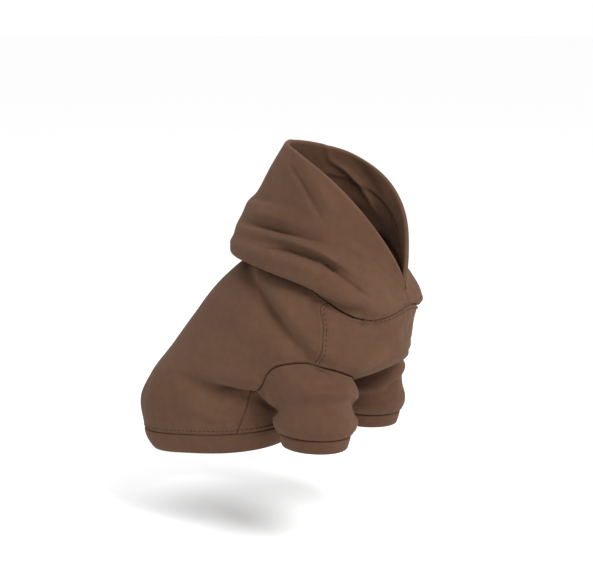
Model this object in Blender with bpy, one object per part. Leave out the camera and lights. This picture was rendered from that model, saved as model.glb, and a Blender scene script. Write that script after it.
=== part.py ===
"""A hooded sweatshirt for a small dog, in the shape that it takes on a dog that sits.

The frame: +Z is up, -Y is the way the dog faces and +X is its left. The origin is the middle of the
neck seam. Every length is in metres. Each piece of cloth is a wall of its own, cut along the seams,
and its outer face is a surface of two numbers: "at", the share of the way from the piece's seam, and
an angle round it.
"""

import math

import bmesh
import bpy
import numpy as np

# Cloth and seams
CLOTH = 0.0026
BAND_CLOTH = 0.0034
SEAM_GAP = 0.0005

# Neck seam
NECK_LENGTH = 0.1020
NECK_WIDTH = 0.0960
NECK_TILT = math.radians(18)
NECK_SAG = 0.0310
NECK_SAG_REACH = 0.3
NECK_FRONT_SQUARE = 2.35

# Body, from the neck seam down to the hem seam
CHEST_REACH = 0.0530
BODY_LENGTH = 0.2410
BODY_DROP = 0.1290
BODY_WIDTH = 0.1320

# Hem band
HEM_BAND_HEIGHT = 0.0170
HEM_BAND_TAPER = 0.0040
HEM_BAND_TUCK = 0.0100

# Hood
HOOD_RISE = 0.1060
HOOD_REACH = 0.1130
HOOD_WIDTH = 0.1230
HOOD_FRONT_LIFT = 0.0105
HOOD_FRONT_STEP = 0.0035

# Armholes, in the body's own measures: the share of the way down, and angles round it
ARMHOLE_TOP = 0.515
ARMHOLE_FOOT = 0.80
ARMHOLE_TO_BACK = math.radians(14)
ARMHOLE_LEAN = 0.8
ARMHOLE_TO_CHEST = math.radians(33)

# Sleeves and cuffs
SLEEVE_SPACING = 0.0860
SLEEVE_BEHIND_NECK = 0.0110
SLEEVE_DROP = 0.1145
SLEEVE_LENGTH = 0.0800
SLEEVE_WIDTH = 0.0640
SLEEVE_TUCK = 0.0010
CUFF_HEIGHT = 0.0115
CUFF_LENGTH = 0.0520
CUFF_WIDTH = 0.0430

# Rows and columns of faces. A sleeve has a column for each row of the body beside its armhole.
ROWS_ABOVE_ARMHOLE = 9
ROWS_BESIDE_ARMHOLE = 11
ROWS_BELOW_ARMHOLE = 6
BACK_COLUMNS = 25
CHEST_COLUMNS = 14
HOOD_ROWS = 23
HOOD_COLUMNS = 18
SLEEVE_ROWS = 10
BAND_ROWS = 2
BAND_COLUMNS = 52

# The body's sections. "along" is a share of BODY_LENGTH from the chest backwards, "drop" a share of
# BODY_DROP below the neck, "half_width" a share of half BODY_WIDTH, and "square" the roundness of a
# section: 2 is an ellipse, and more is boxier.
BODY_COLUMNS = (
    "at", "back_along", "back_drop", "front_along", "front_drop", "half_width", "back_square",
    "front_square",
)
BODY_SECTIONS = (
    (0.15, 0.556, -0.130, 0.024, 0.233, 0.850, 2.1, 2.0),
    (0.32, 0.682, 0.020, 0.034, 0.364, 0.925, 2.1, 2.0),
    (0.50, 0.799, 0.279, 0.063, 0.488, 0.970, 2.2, 2.4),
    (0.65, 0.874, 0.465, 0.222, 0.612, 0.985, 2.2, 3.2),
    (0.80, 0.952, 0.674, 0.432, 0.705, 0.985, 2.3, 4.0),
    (0.90, 1.000, 0.840, 0.438, 0.815, 1.000, 2.3, 3.4),
    (1.00, 0.985, 1.030, 0.430, 0.922, 1.000, 2.3, 3.0),
)

# The seam between the back panel and the chest panel: its angle round the body, in degrees from the
# middle of the back.
SEAM_COLUMNS = ("at", "angle")
SIDE_SEAM = (
    (0.00, 94),
    (0.10, 101),
    (0.26, 114),
    (0.38, 119),
    (0.50, 121),
    (0.65, 129),
    (0.80, 136),
    (0.90, 133),
    (1.00, 127),
)

# Folds. Each runs from one place to another, at a share of the way and an angle in degrees. A valley
# has a depth above zero and a ridge one below it, in shares of CLOTH, and "breadth" is a share of the
# piece's width. The columns are side (-1 on the right, 1 on the left, 0 on both), from_at, from_angle,
# to_at, to_angle, depth and breadth.
BODY_FOLDS = (
    (0, 0.20, 38, 0.30, 92, 0.8, 0.085),
    (0, 0.30, 92, 0.50, 116, 1.0, 0.075),
    (0, 0.70, 66, 0.80, 130, 2.0, 0.085),
    (0, 0.88, 92, 0.90, 124, -1.4, 0.110),
)
HOOD_FOLDS = (
    (0, 0.28, 62, 0.31, 102, 0.8, 0.045),
    (0, 0.31, 102, 0.20, 134, 0.8, 0.045),
    (0, 0.44, 0, 0.47, 92, 1.0, 0.075),
)
SLEEVE_FOLDS = (
    (0, 0.40, 200, 0.60, 260, 1.0, 0.100),
    (0, 0.45, 20, 0.55, 80, 0.8, 0.100),
)
FOLD_END = 0.3

# The hood's sections, from the neck seam to the edge of its opening. "back_reach" and "side_shift"
# are shares of HOOD_REACH, "back_rise" and "side_rise" of HOOD_RISE, "front_lift" of HOOD_FRONT_LIFT
# and "half_width" of half HOOD_WIDTH. "pinch" draws the front in, down to the point of the opening.
HOOD_COLUMNS_NAMED = (
    "at", "front_lift", "back_reach", "back_rise", "half_width", "side_shift", "side_rise", "pinch",
    "front_square",
)
HOOD_SECTIONS = (
    (0.06, 0.10, 0.704, 0.205, 0.860, -0.050, 0.010, 0.00, 2.9),
    (0.13, 0.20, 0.915, 0.150, 0.960, -0.090, 0.055, 0.10, 2.8),
    (0.21, 0.30, 0.950, 0.218, 0.980, -0.100, 0.110, 0.25, 2.6),
    (0.31, 0.40, 0.930, 0.286, 0.890, -0.110, 0.150, 0.45, 2.4),
    (0.40, 0.50, 0.905, 0.354, 0.910, -0.120, 0.185, 0.85, 2.2),
    (0.52, 0.62, 0.865, 0.441, 0.840, -0.140, 0.190, 1.10, 2.1),
    (0.64, 0.74, 0.821, 0.538, 0.810, -0.155, 0.190, 1.30, 2.0),
    (0.76, 0.84, 0.740, 0.624, 0.780, -0.170, 0.180, 1.50, 2.0),
    (0.88, 0.92, 0.630, 0.818, 0.760, -0.180, 0.170, 1.70, 2.0),
    (1.00, 1.00, 0.522, 0.992, 0.740, -0.190, 0.160, 1.80, 2.0),
)

# The sleeve's sections, from the armhole down to the cuff seam. "follow" is how much of the armhole's
# own outline is left, "drop" a share of the way down, and "length" and "width" shares of the sleeve's.
SLEEVE_COLUMNS_NAMED = ("at", "follow", "drop", "length", "width")
SLEEVE_SECTIONS = (
    (0.00, 1.00, 0.00, 1.000, 1.000),
    (0.18, 0.45, 0.16, 0.960, 0.980),
    (0.34, 0.10, 0.32, 0.890, 0.920),
    (0.48, 0.00, 0.46, 0.770, 0.810),
    (0.64, 0.00, 0.62, 0.780, 0.820),
    (0.82, 0.00, 0.80, 0.840, 0.860),
    (0.93, 0.00, 0.92, 0.810, 0.830),
    (1.00, 0.00, 1.00, 0.730, 0.760),
)

# Linear colours
FLEECE_COLOUR = (0.105, 0.058, 0.038)
RIB_COLOUR = (0.092, 0.050, 0.033)

STEP = 1e-4
RIGHT, LEFT = -1, 1
HANDS = {"right": RIGHT, "left": LEFT}


# Curves and surfaces


def table(names, rows):
    """The rows of a table as one array for each named column."""
    return dict(zip(names, np.array(rows, float).T))


def smooth(places, values, at):
    """A smooth curve through the values at those places, read where at says: a cubic Hermite curve."""
    slopes = np.gradient(values, places)
    i = np.clip(np.searchsorted(places, at, side="right") - 1, 0, len(places) - 2)
    span = places[i + 1] - places[i]
    s = (at - places[i]) / span
    rise = values[i] * (1 + 2 * s) * (1 - s) ** 2 + values[i + 1] * s * s * (3 - 2 * s)
    return rise + span * (slopes[i] * s * (1 - s) ** 2 - slopes[i + 1] * s * s * (1 - s))


def section(back, front, half_width, angle, back_square, front_square, pinch=0.0):
    """A closed section through its back and front points: angle 0 is the back and pi the front.

    In its own plane it is the superellipse r = (|cos|^e + |sin|^e)^(-1/e), stretched to the section's
    length and width. The pinch narrows it towards the front by (1 - f^3)^(pinch / 2), where f runs from
    0 at the back to 1 at the front.
    """
    f = (1 - np.cos(angle)) / 2
    e = back_square * (1 - f) + front_square * f
    r = (np.abs(np.cos(angle)) ** e + np.abs(np.sin(angle)) ** e) ** (-1 / e)
    points = (back + front) / 2 + (back - front) / 2 * (r * np.cos(angle))[..., None]
    points[..., 0] = half_width * r * np.sin(angle) * np.maximum(1 - f**3, 0) ** (pinch / 2)
    return points


def on_middle(y, z):
    """Points on the middle plane."""
    y, z = np.broadcast_arrays(y, z)
    return np.stack([np.zeros_like(y), y, z], axis=-1)


def neck_end():
    """The neck seam's back point on the middle plane, as (y, z). The front one is its opposite."""
    return NECK_LENGTH / 2 * math.cos(NECK_TILT), NECK_LENGTH / 2 * math.sin(NECK_TILT)


def neck_sag(at, angle):
    """How far the cloth by the neck seam hangs below the seam's plane: most at the front quarters."""
    front = (1 - np.cos(angle)) / 2
    fade = np.maximum(1 - at / NECK_SAG_REACH, 0) ** 2
    return NECK_SAG * np.sin(angle) ** 2 * front**2 * fade


def body_form(at, angle):
    """The body without its folds: sections between the line of the back and the line of the belly."""
    neck_y, neck_z = neck_end()
    t = table(BODY_COLUMNS, BODY_SECTIONS)
    places = np.append(0, t["at"])

    def column(at_neck, values):
        return smooth(places, np.append(at_neck, values), at)

    back = on_middle(
        column(neck_y, t["back_along"] * BODY_LENGTH - CHEST_REACH),
        column(neck_z, -t["back_drop"] * BODY_DROP),
    )
    front = on_middle(
        column(-neck_y, t["front_along"] * BODY_LENGTH - CHEST_REACH),
        column(-neck_z, -t["front_drop"] * BODY_DROP),
    )
    half_width = column(NECK_WIDTH / 2, t["half_width"] * BODY_WIDTH / 2)
    squares = column(2.0, t["back_square"]), column(NECK_FRONT_SQUARE, t["front_square"])
    points = section(back, front, half_width, angle, *squares)
    points[..., 2] -= neck_sag(at, angle)
    return points


def hood_form(at, angle):
    """The hood without its folds: sections from the neck seam, out over the roll and up to the edge."""
    neck_y, neck_z = neck_end()
    t = table(HOOD_COLUMNS_NAMED, HOOD_SECTIONS)
    places = np.append(0, t["at"])

    def column(at_neck, values):
        return smooth(places, np.append(at_neck, values), at)

    back = on_middle(
        column(neck_y, t["back_reach"] * HOOD_REACH),
        column(neck_z, t["back_rise"] * HOOD_RISE),
    )
    front = on_middle(
        column(-neck_y, t["front_lift"] * HOOD_FRONT_STEP - neck_y),
        column(-neck_z, t["front_lift"] * HOOD_FRONT_LIFT - neck_z),
    )
    half_width = column(NECK_WIDTH / 2, t["half_width"] * HOOD_WIDTH / 2)
    pinch = np.maximum(column(0.0, t["pinch"]), 0)
    front_square = column(NECK_FRONT_SQUARE, t["front_square"])
    points = section(back, front, half_width, angle, 2.0, front_square, pinch)
    across = np.sin(angle) ** 2
    points[..., 1] += across * column(0.0, t["side_shift"] * HOOD_REACH)
    points[..., 2] += across * column(0.0, t["side_rise"] * HOOD_RISE) - neck_sag(at, angle) + SEAM_GAP
    return points


def seam_angle(at):
    """The angle round the body of the seam between back and chest."""
    t = table(SEAM_COLUMNS, SIDE_SEAM)
    return np.radians(smooth(t["at"], t["angle"], at))


def armhole(turn, inset):
    """Points round the left armhole, as (at, angle): turn 0 is its top and pi its foot, and sin(turn)
    is above zero towards the chest. The inset draws the loop in."""
    middle, half = (ARMHOLE_TOP + ARMHOLE_FOOT) / 2, (ARMHOLE_FOOT - ARMHOLE_TOP) / 2
    at = middle - (half - inset / BODY_LENGTH) * np.cos(turn)
    reach = np.where(np.sin(turn) > 0, ARMHOLE_TO_CHEST, armhole_to_back(turn)) - 2 * inset / BODY_WIDTH
    return at, seam_angle(at) + reach * np.sin(turn)


def armhole_to_back(turn):
    """How far the armhole reaches into the back panel: further near its top, by the lean."""
    return ARMHOLE_TO_BACK * (1 + ARMHOLE_LEAN * np.cos(turn))


def sleeve_form(at, turn):
    """The left sleeve without its folds: from the armhole's outline to the oval of the cuff seam."""
    loop = body(*armhole(turn, SEAM_GAP))
    t = table(SLEEVE_COLUMNS_NAMED, SLEEVE_SECTIONS)
    follow, drop, length, width = (smooth(t["at"], t[name], at) for name in SLEEVE_COLUMNS_NAMED[1:])
    start = body(*armhole(np.array([0.0, math.pi / 2, math.pi, -math.pi / 2]), SEAM_GAP))
    middle = start.mean(axis=0)
    bearing = np.arctan2(loop[..., 0] - middle[0], loop[..., 1] - middle[1])
    oval = np.stack([
        SLEEVE_SPACING / 2 + width * SLEEVE_WIDTH / 2 * np.sin(bearing),
        SLEEVE_BEHIND_NECK + length * SLEEVE_LENGTH / 2 * np.cos(bearing),
        loop[..., 2] + 0 * at,
    ], axis=-1)
    points = oval + follow[..., None] * (loop - oval)
    points[..., 2] -= drop * (SLEEVE_DROP + points[..., 2])
    return points


# Folds and cloth


def normals(surface, at, angle):
    """The unit normals of a surface, from its slopes both ways: outwards where "at" runs up."""
    along = surface(at + STEP, angle) - surface(at - STEP, angle)
    round_it = surface(at, angle + STEP) - surface(at, angle - STEP)
    n = np.cross(along, round_it)
    return n / np.linalg.norm(n, axis=-1, keepdims=True)


def fold_depth(folds, length, width, at, angle):
    """The sum of a piece's folds: each is a bell across its line that fades to FOLD_END at both ends."""
    here = np.stack(np.broadcast_arrays(at * length, wrapped(angle) * width / 2), axis=-1)
    depth = np.zeros(here.shape[:-1])
    for side, from_at, from_angle, to_at, to_angle, deep, breadth in folds:
        for hand in (side,) if side else (RIGHT, LEFT):
            start = np.array([from_at * length, hand * math.radians(from_angle) * width / 2])
            way = np.array([to_at * length, hand * math.radians(to_angle) * width / 2]) - start
            s = np.clip(((here - start) @ way) / (way @ way), 0, 1)
            off = np.linalg.norm(here - start - s[..., None] * way, axis=-1)
            strength = FOLD_END + (1 - FOLD_END) * np.sin(math.pi * s)
            depth += deep * CLOTH * strength * np.exp(-((off / breadth / width) ** 2))
    return depth


def wrapped(angle):
    """The same angle between -pi and pi."""
    return (angle + math.pi) % (2 * math.pi) - math.pi


def body(at, angle):
    """The outer face of the body."""
    depth = fold_depth(BODY_FOLDS, BODY_LENGTH, BODY_WIDTH, at, angle)
    return body_form(at, angle) + depth[..., None] * normals(body_form, at, angle)


def hood(at, angle):
    """The outer face of the hood."""
    depth = fold_depth(HOOD_FOLDS, HOOD_RISE, HOOD_WIDTH, at, angle)
    return hood_form(at, angle) - depth[..., None] * normals(hood_form, at, angle)


def wall(name, outer, inner, material, ring=False):
    """A closed piece of cloth between two grids of points. A ring's last column meets its first."""
    rows, columns = outer.shape[:2]
    index = np.arange(rows * columns).reshape(rows, columns)
    if ring:
        index = np.concatenate([index, index[:, :1]], axis=1)

    def quads(a, b, c, d):
        return np.stack([a.ravel(), b.ravel(), c.ravel(), d.ravel()], axis=1)

    def rim(edge):
        return quads(edge[:-1], edge[1:], edge[1:] + rows * columns, edge[:-1] + rows * columns)

    face = quads(index[:-1, :-1], index[1:, :-1], index[1:, 1:], index[:-1, 1:])
    faces = [face, face[:, ::-1] + rows * columns, rim(index[0]), rim(index[-1])[:, ::-1]]
    if not ring:
        faces += [rim(index[:, 0])[:, ::-1], rim(index[:, -1])]
    mesh = bpy.data.meshes.new(name)
    points = np.concatenate([outer.reshape(-1, 3), inner.reshape(-1, 3)])
    mesh.from_pydata(points.tolist(), [], np.concatenate(faces).tolist())
    work = bmesh.new()
    work.from_mesh(mesh)
    bmesh.ops.recalc_face_normals(work, faces=work.faces)
    work.to_mesh(mesh)
    work.free()
    mesh.shade_smooth()
    mesh.set_sharp_from_angle(angle=math.radians(50))
    mesh.materials.append(material)
    obj = bpy.data.objects.new(name, mesh)
    bpy.context.scene.collection.objects.link(obj)
    return obj


# Pieces


def body_rows():
    """The heights of the body's rows: close together at the armhole's ends, where its outline turns."""
    above = np.linspace(0, ARMHOLE_TOP, ROWS_ABOVE_ARMHOLE, endpoint=False)
    turn = np.linspace(0, math.pi, ROWS_BESIDE_ARMHOLE, endpoint=False)
    beside = (ARMHOLE_TOP + ARMHOLE_FOOT) / 2 - (ARMHOLE_FOOT - ARMHOLE_TOP) / 2 * np.cos(turn)
    below = np.linspace(ARMHOLE_FOOT, 1, ROWS_BELOW_ARMHOLE)
    return np.concatenate([above, beside, below])[:, None]


def armhole_turn(at):
    """The turn round the armhole at this height, or one of its ends above and below it."""
    s = (at - ARMHOLE_TOP) / (ARMHOLE_FOOT - ARMHOLE_TOP)
    return np.arccos(np.clip(1 - 2 * s, -1, 1))


def body_panel(name, middle, reach, columns, material):
    """A panel of the body between two seams, at the same angle to both sides of its middle."""
    at = body_rows()
    angle = middle + (reach - SEAM_GAP / BODY_WIDTH) * np.linspace(-1, 1, columns + 1)
    outer = body(at, angle)
    inner = outer + CLOTH * normals(body, at, angle)
    inner[0] = outer[0] + CLOTH * to_neck_middle(outer[0])
    return wall(name, outer, inner, material)


def to_neck_middle(points):
    """The level directions from points on the neck seam towards its middle, the way both walls end."""
    way = -points * (1, 1, 0)
    return way / np.linalg.norm(way, axis=-1, keepdims=True)


def back_panel(material):
    at = body_rows()
    turn = armhole_turn(at)
    reach = seam_angle(at) - armhole_to_back(turn) * np.sin(turn)
    return body_panel("back_panel", 0, reach, BACK_COLUMNS, material)


def chest_panel(material):
    at = body_rows()
    reach = math.pi - seam_angle(at) - ARMHOLE_TO_CHEST * np.sin(armhole_turn(at))
    return body_panel("chest_panel", math.pi, reach, CHEST_COLUMNS, material)


def hood_half(hand, material):
    """One of the hood's two panels. They meet in a seam over the middle, from the neck to the edge."""
    at = np.linspace(0, 1, HOOD_ROWS + 1)[:, None]
    angle = np.linspace(STEP, math.pi - STEP, HOOD_COLUMNS + 1)
    outer = hood(at, angle)
    inner = outer - CLOTH * normals(hood, at, angle)
    inner[0] = outer[0] + CLOTH * to_neck_middle(outer[0])
    for face in (outer, inner):
        face[..., 0] = np.maximum(face[..., 0], SEAM_GAP / 2)
    return wall("hood_" + hand, mirrored(outer, hand), mirrored(inner, hand), material)


def mirrored(points, hand):
    """Points of the left side, put on the side that the hand names."""
    return points * (HANDS[hand], 1, 1)


def sleeve(at, turn):
    """The outer face of the left sleeve."""
    depth = fold_depth(SLEEVE_FOLDS, SLEEVE_DROP / 2, SLEEVE_LENGTH, at, turn)
    return sleeve_form(at, turn) + depth[..., None] * normals(sleeve_form, at, turn)


def sleeve_turns():
    return np.linspace(0, 2 * math.pi, 2 * ROWS_BESIDE_ARMHOLE, endpoint=False)


def sleeve_piece(hand, material):
    """A sleeve. Its first row is tucked inside the body, through the armhole."""
    at = np.linspace(0, 1 - SEAM_GAP / SLEEVE_DROP, SLEEVE_ROWS + 1)[:, None]
    turn = sleeve_turns()
    outer = sleeve(at, turn)
    inner = outer + CLOTH * normals(sleeve, at, turn)

    def tucked(inset):
        down, angle = armhole(turn, inset)
        return body(down, angle) + (CLOTH + SLEEVE_TUCK) * normals(body, down, angle)

    outer = np.concatenate([tucked(SEAM_GAP)[None], outer])
    inner = np.concatenate([tucked(SEAM_GAP + CLOTH)[None], inner])
    return wall("sleeve_" + hand, mirrored(outer, hand), mirrored(inner, hand), material, ring=True)


def cuff(down, turn):
    """The outer face of the left cuff: straight from the sleeve's last outline to the cuff's oval."""
    seam = sleeve(np.ones_like(down), turn)
    bearing = np.arctan2(seam[..., 0] - SLEEVE_SPACING / 2, seam[..., 1] - SLEEVE_BEHIND_NECK)
    edge = np.stack([
        SLEEVE_SPACING / 2 + CUFF_WIDTH / 2 * np.sin(bearing),
        SLEEVE_BEHIND_NECK + CUFF_LENGTH / 2 * np.cos(bearing),
        seam[..., 2] - CUFF_HEIGHT,
    ], axis=-1)
    return seam + down[..., None] * (edge - seam)


def cuff_piece(hand, material):
    down = np.linspace(SEAM_GAP / CUFF_HEIGHT, 1, BAND_ROWS + 1)[:, None]
    turn = sleeve_turns()
    outer = cuff(down, turn)
    inner = outer + BAND_CLOTH * normals(cuff, down, turn)
    return wall("cuff_" + hand, mirrored(outer, hand), mirrored(inner, hand), material, ring=True)


def hem(down, angle):
    """The outer face of the hem band: it draws in by the taper, and at the back it tucks under the rump."""
    seam = body(np.ones_like(down), angle)
    middle = body(1.0, np.linspace(-math.pi, math.pi, BAND_COLUMNS, endpoint=False)).mean(axis=0)
    drawn = 1 - down**2 * HEM_BAND_TAPER / (BODY_WIDTH / 2)
    points = middle + (seam - middle) * drawn[..., None]
    points[..., 1] -= HEM_BAND_TUCK * down**2 * np.maximum(np.cos(angle), 0) ** 2
    points[..., 2] = seam[..., 2] - HEM_BAND_HEIGHT * down
    return points


def hem_band(material):
    down = np.linspace(SEAM_GAP / HEM_BAND_HEIGHT, 1, BAND_ROWS + 1)[:, None]
    angle = np.linspace(-math.pi, math.pi, BAND_COLUMNS, endpoint=False)
    outer = hem(down, angle)
    return wall("hem_band", outer, outer + BAND_CLOTH * normals(hem, down, angle), material, ring=True)


def cloth_material(name, colour, roughness):
    material = bpy.data.materials.new(name)
    material.use_nodes = True
    finish = material.node_tree.nodes["Principled BSDF"].inputs
    finish["Base Color"].default_value = (*colour, 1)
    finish["Roughness"].default_value = roughness
    finish["Metallic"].default_value = 0
    return material


def main():
    for old in list(bpy.data.objects):
        bpy.data.objects.remove(old)
    fleece = cloth_material("brown_fleece", FLEECE_COLOUR, 0.95)
    rib = cloth_material("brown_rib_knit", RIB_COLOUR, 0.9)
    back_panel(fleece)
    chest_panel(fleece)
    hem_band(rib)
    for hand in HANDS:
        hood_half(hand, fleece)
        sleeve_piece(hand, fleece)
        cuff_piece(hand, rib)


main()
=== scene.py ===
"""The looks of the dog hoodie: brown sweatshirt fleece with double knit bands, in its form when worn.

Each cloth surface is the part's own surface, worked out again from the same sizes on a much finer grid,
with its folds and creases drawn sharper and its seams rolled in, lifted and stitched. Lengths are in
metres, +Z is up, -Y is the way that the dog faces and +X is its left.
"""

import math

import bmesh
import bpy
import numpy as np
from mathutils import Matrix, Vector


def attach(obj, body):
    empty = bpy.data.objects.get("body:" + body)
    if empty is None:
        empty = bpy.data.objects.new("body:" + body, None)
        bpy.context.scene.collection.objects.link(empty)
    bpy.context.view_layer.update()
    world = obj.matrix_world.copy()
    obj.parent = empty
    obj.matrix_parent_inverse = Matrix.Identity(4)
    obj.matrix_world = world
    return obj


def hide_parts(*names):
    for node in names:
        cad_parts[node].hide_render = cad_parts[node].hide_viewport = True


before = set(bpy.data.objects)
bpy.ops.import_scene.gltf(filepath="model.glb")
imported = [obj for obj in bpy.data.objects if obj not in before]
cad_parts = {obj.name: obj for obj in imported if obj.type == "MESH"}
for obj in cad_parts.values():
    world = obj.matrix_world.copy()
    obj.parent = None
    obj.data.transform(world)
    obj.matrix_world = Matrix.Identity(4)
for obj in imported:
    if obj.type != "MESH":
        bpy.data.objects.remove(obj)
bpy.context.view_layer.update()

MM = 0.001

# The part's own sizes
CLOTH = 0.0026
BAND_CLOTH = 0.0034
SEAM_GAP = 0.0005
NECK_LENGTH = 0.1020
NECK_WIDTH = 0.0960
NECK_TILT = math.radians(18)
NECK_SAG = 0.0310
NECK_SAG_REACH = 0.3
NECK_FRONT_SQUARE = 2.35
CHEST_REACH = 0.0530
BODY_LENGTH = 0.2410
BODY_DROP = 0.1290
BODY_WIDTH = 0.1320
HEM_BAND_HEIGHT = 0.0170
HEM_BAND_TAPER = 0.0040
HEM_BAND_TUCK = 0.0100
HOOD_RISE = 0.1060
HOOD_REACH = 0.1130
HOOD_WIDTH = 0.1230
HOOD_FRONT_LIFT = 0.0105
HOOD_FRONT_STEP = 0.0035
ARMHOLE_TOP = 0.515
ARMHOLE_FOOT = 0.80
ARMHOLE_TO_BACK = math.radians(14)
ARMHOLE_LEAN = 0.8
ARMHOLE_TO_CHEST = math.radians(33)
SLEEVE_SPACING = 0.0860
SLEEVE_BEHIND_NECK = 0.0110
SLEEVE_DROP = 0.1145
SLEEVE_LENGTH = 0.0800
SLEEVE_WIDTH = 0.0640
SLEEVE_TUCK = 0.0010
CUFF_HEIGHT = 0.0115
CUFF_LENGTH = 0.0520
CUFF_WIDTH = 0.0430

# The body's sections: shares of BODY_LENGTH, BODY_DROP and half BODY_WIDTH, and their roundness
BODY_COLUMNS = (
    "at", "back_along", "back_drop", "front_along", "front_drop", "half_width", "back_square",
    "front_square",
)
BODY_SECTIONS = (
    (0.15, 0.556, -0.130, 0.024, 0.233, 0.850, 2.1, 2.0),
    (0.32, 0.682, 0.020, 0.034, 0.364, 0.925, 2.1, 2.0),
    (0.50, 0.799, 0.279, 0.063, 0.488, 0.970, 2.2, 2.4),
    (0.65, 0.874, 0.465, 0.222, 0.612, 0.985, 2.2, 3.2),
    (0.80, 0.952, 0.674, 0.432, 0.705, 0.985, 2.3, 4.0),
    (0.90, 1.000, 0.840, 0.438, 0.815, 1.000, 2.3, 3.4),
    (1.00, 0.985, 1.030, 0.430, 0.922, 1.000, 2.3, 3.0),
)

# The seam between back and chest: its angle round the body, in degrees from the middle of the back
SEAM_COLUMNS = ("at", "angle")
SIDE_SEAM = (
    (0.00, 94),
    (0.10, 101),
    (0.26, 114),
    (0.38, 119),
    (0.50, 121),
    (0.65, 129),
    (0.80, 136),
    (0.90, 133),
    (1.00, 127),
)

# The hood's sections: shares of HOOD_REACH, HOOD_RISE, HOOD_FRONT_LIFT and half HOOD_WIDTH
HOOD_COLUMNS = (
    "at", "front_lift", "back_reach", "back_rise", "half_width", "side_shift", "side_rise", "pinch",
    "front_square",
)
HOOD_SECTIONS = (
    (0.06, 0.10, 0.704, 0.205, 0.860, -0.050, 0.010, 0.00, 2.9),
    (0.13, 0.20, 0.915, 0.150, 0.960, -0.090, 0.055, 0.10, 2.8),
    (0.21, 0.30, 0.950, 0.218, 0.980, -0.100, 0.110, 0.25, 2.6),
    (0.31, 0.40, 0.930, 0.286, 0.890, -0.110, 0.150, 0.45, 2.4),
    (0.40, 0.50, 0.905, 0.354, 0.910, -0.120, 0.185, 0.85, 2.2),
    (0.52, 0.62, 0.865, 0.441, 0.840, -0.140, 0.190, 1.10, 2.1),
    (0.64, 0.74, 0.821, 0.538, 0.810, -0.155, 0.190, 1.30, 2.0),
    (0.76, 0.84, 0.740, 0.624, 0.780, -0.170, 0.180, 1.50, 2.0),
    (0.88, 0.92, 0.630, 0.818, 0.760, -0.180, 0.170, 1.70, 2.0),
    (1.00, 1.00, 0.522, 0.992, 0.740, -0.190, 0.160, 1.80, 2.0),
)

# The sleeve's sections, from the armhole down to the cuff seam
SLEEVE_COLUMNS = ("at", "follow", "drop", "length", "width")
SLEEVE_SECTIONS = (
    (0.00, 1.00, 0.00, 1.000, 1.000),
    (0.18, 0.45, 0.16, 0.960, 0.980),
    (0.34, 0.10, 0.32, 0.890, 0.920),
    (0.48, 0.00, 0.46, 0.770, 0.810),
    (0.64, 0.00, 0.62, 0.780, 0.820),
    (0.82, 0.00, 0.80, 0.840, 0.860),
    (0.93, 0.00, 0.92, 0.810, 0.830),
    (1.00, 0.00, 1.00, 0.730, 0.760),
)

# The hood's cloth from the neck seam to its edge, at the side
HOOD_CLOTH = 0.180

# The share of the body's and of the hood's height over which folds die out towards the neck seam
NECK_HOLD = 0.035

# The hood's edge is turned in from this share of its height, which thickens the cloth over a short way
TURNED_IN_FROM = 0.84
TURNED_IN_OVER = 0.03
TURNED_IN_THICKER = 0.5

# Folds. Each has a depth and a breadth in millimetres, how strong it still is at its first and its last
# place, and its places as (at, degrees). A valley's depth is above zero, and a ridge's below it.
BODY_FOLDS = (
    # From the nape down to the armhole, with the cloth lifted on both sides of it
    (6.6, 8.0, 0.5, 0.7, ((0.17, 24), (0.235, 61), (0.32, 88), (0.42, 106), (0.50, 117))),
    (1.8, 3.2, 0.3, 0.3, ((0.19, 44), (0.255, 72), (0.34, 93), (0.43, 108))),
    (-2.0, 8.0, 0.0, 0.3, ((0.14, 62), (0.22, 84), (0.32, 102), (0.42, 113))),
    (-2.6, 11.0, 0.0, 0.2, ((0.33, 44), (0.41, 72), (0.48, 93))),
    # Beside the shoulder seam, under the roll of the hood
    (1.4, 4.5, 0.6, 0.0, ((0.06, 91), (0.14, 96), (0.24, 104))),
    # Over the haunch to the armpit
    (5.8, 9.0, 0.0, 0.9, ((0.69, 60), (0.745, 82), (0.775, 104), (0.79, 121), (0.79, 134))),
    (4.6, 3.6, 0.0, 1.0, ((0.735, 92), (0.762, 110), (0.775, 122), (0.778, 134))),
    (-2.2, 11.0, 0.0, 0.2, ((0.64, 84), (0.68, 104), (0.70, 118))),
    (-4.2, 11.0, 0.1, 0.2, ((0.855, 84), (0.875, 102), (0.90, 120))),
    # The rump turns away in a soft upright ridge
    (-1.8, 9.0, 0.0, 0.0, ((0.78, 62), (0.86, 68), (0.95, 74))),
    (1.6, 8.0, 0.0, 0.0, ((0.74, 40), (0.84, 46), (0.95, 52))),
    # Short tucks over the hem seam
    (0.9, 3.6, 0.0, 0.0, ((0.955, 98), (0.945, 112), (0.95, 124))),
    (0.7, 4.0, 0.0, 0.0, ((0.97, 60), (0.93, 66), (0.90, 76))),
    # On the belly between the side seam and the sleeve
    (1.8, 4.5, 0.6, 0.0, ((0.80, 142), (0.86, 150), (0.92, 156))),
    # Across the chest, from the neck seam down and back to the armhole
    (1.8, 8.0, 0.1, 0.3, ((0.10, 152), (0.26, 148), (0.42, 140), (0.53, 133))),
    (2.0, 7.0, 0.0, 0.3, ((0.28, 172), (0.40, 164), (0.50, 155), (0.58, 148))),
    (-1.6, 9.0, 0.0, 0.0, ((0.16, 136), (0.30, 132), (0.42, 128))),
    (1.3, 6.0, 0.0, 0.0, ((0.10, 172), (0.22, 178), (0.34, 180))),
)
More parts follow.
